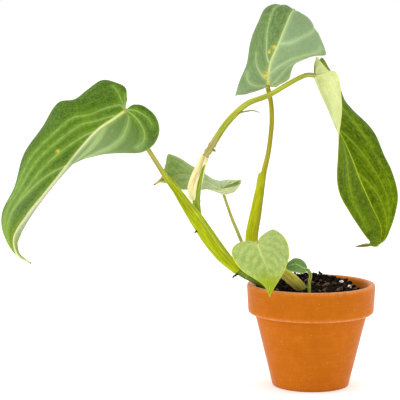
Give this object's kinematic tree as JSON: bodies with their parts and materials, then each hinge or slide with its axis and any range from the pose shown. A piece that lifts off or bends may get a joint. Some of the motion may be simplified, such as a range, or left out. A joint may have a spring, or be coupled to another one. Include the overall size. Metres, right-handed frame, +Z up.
{
  "type": "potted philodendron",
  "caption": "Young philodendron with heart-shaped hanging leaves, leaning out of a small tapered terracotta pot of dark potting mix.",
  "frame": {"origin": "bottom centre of the whole object's bounding box, on the plane of the pot's foot; the pot's own axis stands to the right of it, because the plant leans left", "axes": "+Z up along the pot's axis, +X towards the hanging right-hand leaf, +Y towards the back, away from the small front leaf"},
  "size_m": [0.3338, 0.1154, 0.3243],
  "materials": {
    "terracotta": "matte unglazed clay",
    "potting_mix": "crumbly and matte",
    "perlite": "matte",
    "bark": "rough",
    "leaf": "velvety with a soft sheen",
    "young_leaf": "soft satin",
    "leaf_stalk": "satin",
    "stem": "satin",
    "old_stem": "satin",
    "bract": "papery",
    "dry_tissue": "dry"
  },
  "bodies": {
    "root": {"pot": "terracotta", "potting_mix": "potting_mix", "perlite_1": "perlite", "perlite_2": "perlite", "perlite_3": "perlite", "perlite_4": "perlite", "perlite_5": "perlite", "bark_1": "bark", "bark_2": "bark", "bark_3": "bark", "bark_4": "bark", "bark_5": "bark", "stem_lower": "stem", "stem_old": "old_stem", "stem_upper": "stem", "cataphyll": "bract", "petiole_left": "leaf_stalk", "petiole_top": "leaf_stalk", "petiole_right": "leaf_stalk", "petiole_front": "leaf_stalk", "petiole_rear": "leaf_stalk", "petiole_young": "leaf_stalk", "leaf_left": "leaf", "leaf_top": "leaf", "leaf_right": "leaf", "leaf_front": "young_leaf", "leaf_rear": "leaf", "leaf_young": "leaf", "withered_tip": "dry_tissue", "scar_spur": "dry_tissue", "aerial_root_upper": "dry_tissue", "aerial_root_lower": "dry_tissue"}
  },
  "joints": []
}
